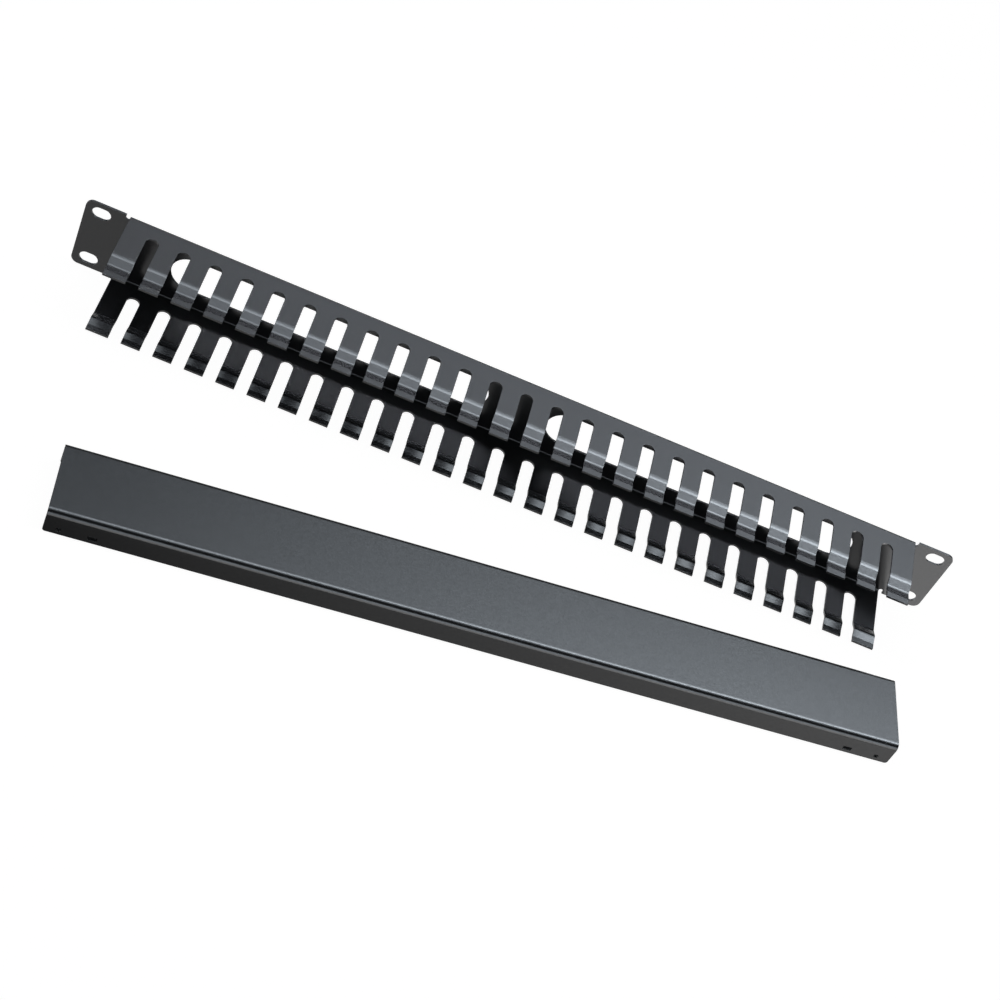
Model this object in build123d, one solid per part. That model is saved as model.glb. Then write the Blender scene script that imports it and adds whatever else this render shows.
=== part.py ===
from build123d import *
import os

os.makedirs("parts", exist_ok=True)

# Horizontal cable manager for a 19 inch rack: a folded finger duct, and its clip-on cover,
# which is off the fingers and lies in front of them, face up on the same surface.
# X runs along the rack's width, -Y is towards the person in front of the rack, +Z is up.
# The origin is the middle of the panel's front face, centred between the four rack slots.

# Sheet steel
sheet = 1.2  # wall of both pieces
bend_inside = 0.8  # inside radius of the duct's square folds
edge_round = 1.5  # rounding of the cover's free corners

# Panel and ears
panel_height = 44.0  # one rack unit less its gap
rack_slot_span = 465.1  # between slot centres across the rack
rack_slot_pitch = 31.75  # between slot centres up the rack
rack_slot_length = 10.0
rack_slot_width = 7.0
ear_edge = 8.75  # rack slot centre to the ear's outer edge
ear_neck = 14.35  # rack slot centre to the end of the finger rows
ear_corner = 4.0  # rounding of the ears' corners
relief_width = 2.3  # bend relief between a row's end and its ear
relief_depth = 2.9

# Pass-throughs in the panel, one on each side of the middle
pass_height = 21.0
pass_near = 16.6  # from the middle to an opening's near end
pass_margin = 26.9  # from its far end to the end of the rows

# Finger rows
finger_reach = 43.6  # panel front to finger tips
slot_pitch = 16.9
slot_width = 6.8
slot_root = 9.2  # panel front to the slots' closed ends
end_finger = 12.0  # least width of the fingers at both ends of a row

# Latch joggle across each finger, measured back from its tip
tip_flat = 3.4  # straight lip at the tip
tip_inset = 1.65  # lip below the row's face
valley_back = 8.1  # tip to the bottom of the joggle
valley_depth = 2.6
shoulder_back = 14.0  # tip to where the joggle leaves the row's face
valley_bend = 2.5  # outside radius at the bottom of the joggle
shoulder_bend = 6.5  # outside radius at the shoulder

# Cover
cover_bend_inside = 2.0  # inside radius of its two long folds
cover_short = 2.2  # from the end of the finger rows in to the cover's end
tip_gap = 2.4  # between the finger tips and the cover's inside face when it is on
edge_gap = 0.2  # between a flange's free edge and the joggle's slope when it is on
dimple_height = 1.0  # how far a pressed dimple stands into the joggle
dimple_radius = 1.5  # of the round dimple, and half the height of the long one, at the flange's inside face
dimple_wall = 0.7  # sheet left where a dimple has stretched it
dimple_taper = 30.0  # degrees, slope of a dimple's side
dimple_shift = 0.6  # from the joggle's bottom to the dimples over it, away from its steeper side
round_dimple_in = 7.3  # from the cover's end to its round dimple
long_dimple_in = 23.2  # from the cover's end to the middle of its long dimple
long_dimple_run = 2.0  # how much longer than high the long dimple is
dimple_press = 0.2  # how much narrower a dimple's mouth is outside than its foot inside

# The cover as it lies
cover_x = 16.3
cover_away = 76.9  # finger tips to the middle of the lying cover
cover_turn = 8.1  # degrees, right end further back

# Sizes that follow from the ones above
bend_outside = bend_inside + sheet
cover_bend_outside = cover_bend_inside + sheet
half_height = panel_height / 2
row_half = rack_slot_span / 2 - ear_neck
ear_half = rack_slot_span / 2 + ear_edge
slots_room = 2 * (row_half - end_finger) - slot_width
slot_count = int(round(slots_room / slot_pitch, 3)) + 1
pass_far = row_half - pass_margin
cover_length = 2 * (row_half - cover_short)
slope_run = shoulder_back - valley_back
edge_back = shoulder_back - (sheet + edge_gap) * slope_run / valley_depth  # finger tip to a flange's edge
cover_depth = edge_back + tip_gap + sheet
dimple_depth = valley_back - dimple_shift + tip_gap + sheet  # cover face to dimple centres
long_cut = 2 * panel_height  # passes through both rows


def joggle_points(side):
    """Outside face of one finger from its tip to the panel's fold, as (y, z); side is 1 above, -1 below."""
    return [
        (-finger_reach, side * (half_height - tip_inset)),
        (-finger_reach + tip_flat, side * (half_height - tip_inset)),
        (-finger_reach + valley_back, side * (half_height - valley_depth)),
        (-finger_reach + shoulder_back, side * half_height),
        (sheet, side * half_height),
    ]


def folded_section():
    """Section of the folded sheet, from the upper finger tips round the panel to the lower ones."""
    outside = joggle_points(1) + joggle_points(-1)[::-1]
    finger_bends = [0, valley_bend, shoulder_bend]  # the lip starts at a sharp crease
    radii = finger_bends + [bend_outside, bend_outside] + finger_bends[::-1]
    skin = FilletPolyline(*outside, radius=radii)
    return make_face(offset(skin, amount=sheet, side=Side.RIGHT, closed=True).edges())


def row_slots():
    """Open slots between the fingers, cut through the upper and the lower row at once."""
    run = finger_reach - slot_root - slot_width / 2 + sheet
    straight = Pos(0, -run / 2) * Rectangle(slot_width, run)
    slot = Pos(0, -slot_root - slot_width / 2) * (straight + Circle(slot_width / 2))
    slots = GridLocations(slot_pitch, 1, slot_count, 1) * slot
    return extrude(Plane.XY.offset(-long_cut / 2) * Sketch(slots), long_cut)


def pass_throughs():
    """The two long round-ended openings that let cables through the panel."""
    opening = SlotOverall(pass_far - pass_near, pass_height)
    middle = (pass_far + pass_near) / 2
    openings = Sketch() + [at * opening for at in Locations((-middle, 0), (middle, 0))]
    return extrude(Plane.XZ.offset(-sheet) * openings, sheet)


def ears():
    """Flat ears at both ends, each with two rack slots and a round-rooted bend relief above and below."""
    width = ear_half - row_half
    blank = Pos(row_half + width / 2, 0) * Rectangle(width, panel_height)
    blank = fillet(blank.vertices().group_by(Axis.X)[-1], ear_corner)
    root = Circle(relief_width / 2) + Pos(0, relief_depth / 2) * Rectangle(relief_width, relief_depth)
    relief = Pos(row_half + relief_width / 2, half_height - relief_depth + relief_width / 2) * root
    ear = blank - relief - mirror(relief, Plane.XZ)
    both = Sketch() + [ear, mirror(ear, Plane.YZ)]
    holes = GridLocations(rack_slot_span, rack_slot_pitch, 2, 2)
    both -= [at * SlotOverall(rack_slot_length, rack_slot_width) for at in holes]
    return extrude(Plane.XZ.offset(-sheet) * both, sheet)


def finger_duct():
    """Panel, ears and both rows of fingers, folded from one sheet."""
    channel = extrude(Plane.YZ.offset(-row_half) * folded_section(), 2 * row_half)
    return channel + ears() - row_slots() - pass_throughs()


def dimple_outline(radius, run):
    """Foot of a dimple: a circle, or a rectangle longer than high by the run."""
    return Rectangle(run + 2 * radius, 2 * radius) if run else Circle(radius)


def pressed_dimple(run):
    """Inside bump and outside hollow of a dimple pressed along +Y, with the flange's outside face at y = 0."""
    inward = Plane((0, 0, 0), x_dir=(1, 0, 0), z_dir=(0, 1, 0))
    foot = inward.offset(sheet) * dimple_outline(dimple_radius, run)
    mouth = inward * dimple_outline(dimple_radius - dimple_press, run)
    bump = extrude(foot, dimple_height, taper=dimple_taper)
    hollow = extrude(mouth, sheet + dimple_height - dimple_wall, taper=dimple_taper)
    return bump, hollow


def cover_channel():
    """The cover's folded channel before its dimples: face outside at z = 0, flanges down, centred on the origin."""
    across = panel_height / 2
    path = [(-across, -cover_depth), (-across, 0), (across, 0), (across, -cover_depth)]
    skin = FilletPolyline(*path, radius=cover_bend_outside)
    section = make_face(offset(skin, amount=sheet, side=Side.RIGHT, closed=True).edges())
    channel = extrude(Plane.YZ.offset(-cover_length / 2) * section, cover_length)
    return fillet(channel.edges().filter_by(Axis.Y).group_by(Axis.Z)[0], edge_round)


def cover():
    """Clip-on cover with a round and a long dimple near each end of both flanges."""
    body = cover_channel()
    places = [(cover_length / 2 - round_dimple_in, 0), (cover_length / 2 - long_dimple_in, long_dimple_run)]
    for along, run in places:
        bump, hollow = pressed_dimple(run)
        for at in (-along, along):
            for turn in (0, 180):
                seat = Rot(0, 0, turn) * Pos(at, -panel_height / 2, -dimple_depth)
                body = body + seat * bump - seat * hollow
    lying = Pos(cover_x, -finger_reach - cover_away, cover_depth - half_height) * Rot(0, 0, cover_turn)
    return lying * body


export_step(finger_duct(), "parts/finger_duct.step")
export_step(cover(), "parts/cover.step")
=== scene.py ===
import math

import bpy
from mathutils import Matrix, Vector

# A one-unit rack cable manager: the folded finger duct stands on a white table with its
# clip-on cover lying in front of it. Lengths are in metres, in the CAD model's own frame,
# apart from those marked mm.

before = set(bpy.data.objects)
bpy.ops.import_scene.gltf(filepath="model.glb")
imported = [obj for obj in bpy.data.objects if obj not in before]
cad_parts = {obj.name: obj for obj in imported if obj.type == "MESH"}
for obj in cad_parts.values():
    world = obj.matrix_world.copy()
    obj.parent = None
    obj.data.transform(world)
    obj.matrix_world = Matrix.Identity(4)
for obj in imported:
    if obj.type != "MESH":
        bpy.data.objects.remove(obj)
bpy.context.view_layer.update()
millimetre = 0.001
print("frame loaded:", sorted(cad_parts))


def linearColour(hexText):
    # sRGB hex to the linear colour that the shaders take
    channels = [int(hexText[i:i + 2], 16) / 255 for i in (1, 3, 5)]
    linear = [c / 12.92 if c <= 0.04045 else ((c + 0.055) / 1.055) ** 2.4 for c in channels]
    return (*linear, 1.0)


def addNode(tree, kind, settings=None, inputs=None, links=None):
    # one node with its settings, its unlinked input values and what feeds its inputs
    node = tree.nodes.new(kind)
    for name, value in (settings or {}).items():
        setattr(node, name, value)
    for name, value in (inputs or {}).items():
        node.inputs[name].default_value = value
    for name, source in (links or {}).items():
        tree.links.new(source, node.inputs[name])
    return node


def newMaterial(name):
    material = bpy.data.materials.new(name)
    material.use_nodes = True
    material.node_tree.nodes.clear()
    return material, material.node_tree


# camera

cameraSetup = {
    "place": (-0.1202, -0.8423, 0.7969),
    "aim": (0.0051, -0.0600, -0.0046),
    "roll": 28.681,  # degrees, the picture is turned so that the duct runs down to the right
    "lens": 80.95,  # mm
    "sensor": 36.0,  # mm
    "clipStart": 0.05,
}


def setCamera(setup):
    data = bpy.data.cameras.new("pictureCamera")
    data.sensor_width = setup["sensor"]
    data.lens = setup["lens"]
    data.clip_start = setup["clipStart"]
    camera = bpy.data.objects.new("pictureCamera", data)
    bpy.context.scene.collection.objects.link(camera)
    place = Vector(setup["place"])
    look = (Vector(setup["aim"]) - place).to_track_quat("-Z", "Y").to_matrix().to_4x4()
    roll = Matrix.Rotation(math.radians(setup["roll"]), 4, "Z")
    camera.matrix_world = Matrix.Translation(place) @ (look @ roll)
    bpy.context.scene.camera = camera


setCamera(cameraSetup)
print("camera set")


# powder-coated steel

powderCoat = {
    "colour": "#2b2c2f",
    "paleColour": "#303134",
    "ior": 1.5,
    "roughness": 0.20,
    "roughnessSpread": 0.03,  # either side of it, over the rises and dips of the film
    "cloudSize": 45.0,  # mm, slow change of tone across a sheet
    "cloudDetail": 3.0,
    "peelSize": 1.6,  # mm between the rises of the cured film
    "peelDetail": 2.0,
    "peelDepth": 0.004,  # mm
    "grainSize": 0.9,  # mm, the film's tooth, really about 0.2 mm and drawn as coarse as it needs to show
    "grainDetail": 1.0,
    "grainSpan": (0.3, 0.7),  # the noise values that the shine below runs between
    "grainShine": (0.43, 0.57),  # how the tooth varies the film's shine, round the usual 0.5
    "edgeRadius": 0.25,  # mm, how the film rounds over a sheared edge
    "edgeSamples": 4,
}


def powderCoatedSteel(name, setup):
    # thermoset polyester powder, sprayed dry and baked: an even satin film with a soft
    # orange peel, slightly paler where it is thin, and rounded over every cut edge
    material, tree = newMaterial(name)
    place = addNode(tree, "ShaderNodeNewGeometry").outputs["Position"]
    clouds = addNode(tree, "ShaderNodeTexNoise", links={"Vector": place}, inputs={
        "Scale": 1 / (setup["cloudSize"] * millimetre), "Detail": setup["cloudDetail"]})
    peel = addNode(tree, "ShaderNodeTexNoise", links={"Vector": place}, inputs={
        "Scale": 1 / (setup["peelSize"] * millimetre), "Detail": setup["peelDetail"]})
    grain = addNode(tree, "ShaderNodeTexNoise", links={"Vector": place}, inputs={
        "Scale": 1 / (setup["grainSize"] * millimetre), "Detail": setup["grainDetail"]})
    # sockets 6 and 7 are the two colours of the mix
    tone = addNode(tree, "ShaderNodeMix", {"data_type": "RGBA"}, links={0: clouds.outputs["Fac"]}, inputs={
        6: linearColour(setup["colour"]), 7: linearColour(setup["paleColour"])})
    low, high = (setup["roughness"] + side * setup["roughnessSpread"] for side in (-1, 1))
    sheen = addNode(tree, "ShaderNodeMapRange", links={"Value": peel.outputs["Fac"]}, inputs={
        "To Min": low, "To Max": high})
    (spanLow, spanHigh), (dull, bright) = setup["grainSpan"], setup["grainShine"]
    shine = addNode(tree, "ShaderNodeMapRange", links={"Value": grain.outputs["Fac"]}, inputs={
        "From Min": spanLow, "From Max": spanHigh, "To Min": dull, "To Max": bright})
    rounded = addNode(tree, "ShaderNodeBevel", {"samples": setup["edgeSamples"]},
                      {"Radius": setup["edgeRadius"] * millimetre})
    bump = addNode(tree, "ShaderNodeBump",
                   inputs={"Strength": 1.0, "Distance": setup["peelDepth"] * millimetre},
                   links={"Height": peel.outputs["Fac"], "Normal": rounded.outputs["Normal"]})
    coat = addNode(tree, "ShaderNodeBsdfPrincipled", inputs={"Metallic": 0.0, "IOR": setup["ior"]},
                   links={"Base Color": tone.outputs[2], "Roughness": sheen.outputs["Result"],
                          "Specular IOR Level": shine.outputs["Result"], "Normal": bump.outputs["Normal"]})
    addNode(tree, "ShaderNodeOutputMaterial", links={"Surface": coat.outputs["BSDF"]})
    return material


steelFilm = powderCoatedSteel("satinPowderCoat", powderCoat)
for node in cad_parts.values():
    node.data.materials.clear()
    node.data.materials.append(steelFilm)
print("sheets coated")


# table and room

def seenDirectly(tree):
    # 1 for what the camera sees, straight or in a shiny or clear surface
    path = addNode(tree, "ShaderNodeLightPath").outputs
    first = addNode(tree, "ShaderNodeMath", {"operation": "MAXIMUM"},
                    links={0: path["Is Camera Ray"], 1: path["Is Glossy Ray"]})
    both = addNode(tree, "ShaderNodeMath", {"operation": "MAXIMUM"},
                   links={0: first.outputs[0], 1: path["Is Transmission Ray"]})
    return both.outputs[0]


table = {
    "reach": 3.0,
    "height": -22.0,  # mm, under both pieces
    "colour": "#8c8c8c",
    "lift": 0.96,  # keeps the table white to the eye and in the coat's shine, with the shadow on it
}
tableTop = table["height"] * millimetre


def whiteTable(setup):
    # plain matt board
    mesh = bpy.data.meshes.new("table")
    r, z = setup["reach"], tableTop
    mesh.from_pydata([(-r, -r, z), (r, -r, z), (r, r, z), (-r, r, z)], [], [(0, 1, 2, 3)])
    board = bpy.data.objects.new("table", mesh)
    bpy.context.scene.collection.objects.link(board)
    material, tree = newMaterial("mattBoard")
    matt = addNode(tree, "ShaderNodeBsdfDiffuse", inputs={"Color": linearColour(setup["colour"])})
    lift = addNode(tree, "ShaderNodeMath", {"operation": "MULTIPLY"}, {1: setup["lift"]},
                   {0: seenDirectly(tree)})
    glow = addNode(tree, "ShaderNodeEmission", links={"Strength": lift.outputs[0]})
    both = addNode(tree, "ShaderNodeAddShader", links={0: matt.outputs[0], 1: glow.outputs[0]})
    addNode(tree, "ShaderNodeOutputMaterial", links={"Surface": both.outputs[0]})
    mesh.materials.append(material)


room = {
    "colour": "#ffffff",
    "lightLevel": 0.08,  # what matt surfaces get from it
    "seenLevel": 1.0,  # plain white to the eye and in the coat's shine
}


def whiteRoom(setup):
    world = bpy.data.worlds.new("whiteRoom")
    bpy.context.scene.world = world
    world.use_nodes = True
    tree = world.node_tree
    tree.nodes.clear()
    # sockets 2 and 3 are the two numbers of the mix
    level = addNode(tree, "ShaderNodeMix", inputs={2: setup["lightLevel"], 3: setup["seenLevel"]},
                    links={0: seenDirectly(tree)})
    sky = addNode(tree, "ShaderNodeBackground", inputs={"Color": linearColour(setup["colour"])},
                  links={"Strength": level.outputs[0]})
    addNode(tree, "ShaderNodeOutputWorld", links={"Surface": sky.outputs[0]})


whiteTable(table)
whiteRoom(room)
print("table and room set")


# lamps

overheadBox = {
    "place": (0.05, -0.02, 1.5),
    "aim": (0.05, -0.02, 0.0),
    "size": (2.4, 0.6),
    "power": 3.0,  # W
    "spread": 180.0,  # degrees
}

# Four small lamps in a row behind the duct on the left, which reach its lower row through the
# panel's openings. They light the duct alone, as the cover is lit well without them.
ductLamps = {
    "count": 4,
    "leftmost": -1.2,
    "pitch": 0.3,
    "behind": 1.0,
    "height": 0.98,
    "aim": (0.15, -0.02, -0.02),
    "size": (0.3, 0.14),
    "power": 0.85,  # W each
    "spread": 44.0,  # degrees
    "lights": "finger_duct",
}


def addLamp(name, setup):
    data = bpy.data.lights.new(name, "AREA")
    data.shape = "RECTANGLE"
    data.size, data.size_y = setup["size"]
    data.energy = setup["power"]
    data.spread = math.radians(setup["spread"])
    lamp = bpy.data.objects.new(name, data)
    bpy.context.scene.collection.objects.link(lamp)
    lamp.location = setup["place"]
    lamp.rotation_euler = (Vector(setup["aim"]) - Vector(setup["place"])).to_track_quat("-Z", "Y").to_euler()
    lamp.visible_camera = False
    lamp.visible_glossy = False  # the boards stand in for it in the shine
    if "lights" in setup:
        only = bpy.data.collections.new(name + "Only")
        only.objects.link(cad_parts[setup["lights"]])
        lamp.light_linking.receiver_collection = only


addLamp("overheadBox", overheadBox)
for step in range(ductLamps["count"]):
    along = ductLamps["leftmost"] + step * ductLamps["pitch"]
    place = (along, ductLamps["behind"], ductLamps["height"])
    addLamp(f"ductLamp{step + 1}", {**ductLamps, "place": place})
print("lamps set")


# boards: painted reflections in the coat's shine

cover = {
    "middle": (0.0163, -0.1205, 0.0),
    "turn": 8.1,  # degrees, right end further back
}

opening = {
    "near": 0.0164,  # an opening's two ends, from the middle of the panel
    "far": 0.1915,
    "half": 0.0106,  # half its height
    "behind": 0.0014,  # just clear of the panel's back
}

boardSetup = {
    "reach": (-2.5, 2.5),
    "fade": (-0.3, 0.62),
    "tint": "#ecf6ff",  # cool daylight tint of the boards' painted glow
    "turn": 0.0,  # degrees about the cover's middle
}

onTable = tableTop + 0.1 * millimetre
onBoard = tableTop + 0.2 * millimetre
# alongCover and underDuct place the sheets on the table that paint its reflection in the coat's shine
alongCover = {"reach": (-1.2, 1.2), "tint": "#ffffff", "turn": cover["turn"]}
underDuct = {"run": [(-0.09, onTable), (0.0, onTable)], "tint": "#ffffff"}
# the dark sheets just behind the panel's openings, which paint them dark in the coat's shine
openingPaintedShade = {
    "run": [(opening["behind"], -opening["half"]), (opening["behind"], opening["half"])],
    "glow": (0.0, 0.0),
}

# Painted reflections: glowing boards and dark screens which light nothing and which only the coat's
# shine picks up. Some stand round the set. The rest lie on the table under and in front of the pieces,
# where they paint the table darker or brighter in the shine than it looks, or stand just behind the
# panel's openings, where they paint them dark. Each is a flat sheet between two (y, z) edges, and its
# glow goes from left to right between the two x of its fade.
boards = {
    "overheadBoard": {"run": [(-0.439, 1.434), (0.026, 1.500)], "glow": (1.8, 2.8)},
    "stripBoard": {"run": [(0.026, 1.500), (0.388, 1.449)], "glow": (6.0, 18.0)},
    "middleBoard": {"run": [(0.414, 1.546), (0.751, 1.413)], "glow": (3.0, 7.8)},
    "backHighBoard": {"run": [(0.798, 1.501), (1.115, 1.283)], "glow": (0.95, 5.0)},
    "backLowBoard": {"run": [(1.115, 1.283), (1.426, 0.926)], "glow": (0.6, 1.5)},
    "backScreen": {"run": [(1.426, 0.926), (1.9, 0.0)], "glow": (0.02, 0.02)},
    "frontScreen": {"run": [(-0.497, 1.626), (-1.9, 0.886)], "glow": (0.02, 0.02)},
    "frontLowBoard": {"run": [(-1.9, 0.886), (-1.9, onTable)], "glow": (2.2, 4.0)},
    # painted reflection: a sheet on the table in front, which makes the table brighter in the shine than it
    # looks
    "frontTableBoard": {**alongCover, "run": [(-1.9, onTable), (-0.165, onTable)], "glow": (2.2, 4.0)},
    # painted reflection: a sheet on the table under and just before the cover's front, which makes its front
    # flange mirror dark at the left and paler to the right
    "coverPaintedReflection": {**alongCover, "run": [(-0.165, onBoard), (-0.1205, onBoard)],
                  "fade": (-0.2, 0.25), "glow": (0.15, 1.05)},
    # painted reflections: sheets on the table under and before the duct, seen only in the shine, darker than
    # the table under the duct and brighter under its right ear
    "ductPaintedReflection": {**underDuct, "reach": (-0.6, 0.222), "glow": (0.8, 0.8)},
    "earPaintedReflection": {**underDuct, "reach": (0.222, 0.6), "glow": (2.6, 2.6)},
    # painted shade: dark sheets just behind the panel's openings, seen only in the shine
    "leftOpeningPaintedShade": {**openingPaintedShade, "reach": (-opening["far"], -opening["near"])},
    "rightOpeningPaintedShade": {**openingPaintedShade, "reach": (opening["near"], opening["far"])},
}


def shineBoard(name, setup):
    # a glowing sheet seen only in the coat's shine: a painted reflection
    material, tree = newMaterial(name + "Face")
    place = addNode(tree, "ShaderNodeNewGeometry").outputs["Position"]
    along = addNode(tree, "ShaderNodeSeparateXYZ", links={0: place}).outputs["X"]
    (fadeLeft, fadeRight), (glowLeft, glowRight) = setup["fade"], setup["glow"]
    fade = addNode(tree, "ShaderNodeMapRange", links={"Value": along}, inputs={
        "From Min": fadeLeft, "From Max": fadeRight, "To Min": glowLeft, "To Max": glowRight})
    glow = addNode(tree, "ShaderNodeEmission", inputs={"Color": linearColour(setup["tint"])},
                   links={"Strength": fade.outputs["Result"]})
    addNode(tree, "ShaderNodeOutputMaterial", links={"Surface": glow.outputs[0]})
    corners = [Vector((x, y, z)) for y, z in setup["run"] for x in setup["reach"]]
    middle = Vector(cover["middle"])
    turn = Matrix.Rotation(math.radians(setup["turn"]), 3, "Z")
    mesh = bpy.data.meshes.new(name)
    mesh.from_pydata([turn @ (corner - middle) + middle for corner in corners], [], [(0, 1, 3, 2)])
    mesh.materials.append(material)
    board = bpy.data.objects.new(name, mesh)
    bpy.context.scene.collection.objects.link(board)
    for ray in ("camera", "diffuse", "shadow", "transmission", "volume_scatter"):
        setattr(board, "visible_" + ray, False)


for name, setup in boards.items():
    shineBoard(name, {**boardSetup, **setup})
print("boards set")

bpy.context.scene.view_settings.view_transform = "Standard"
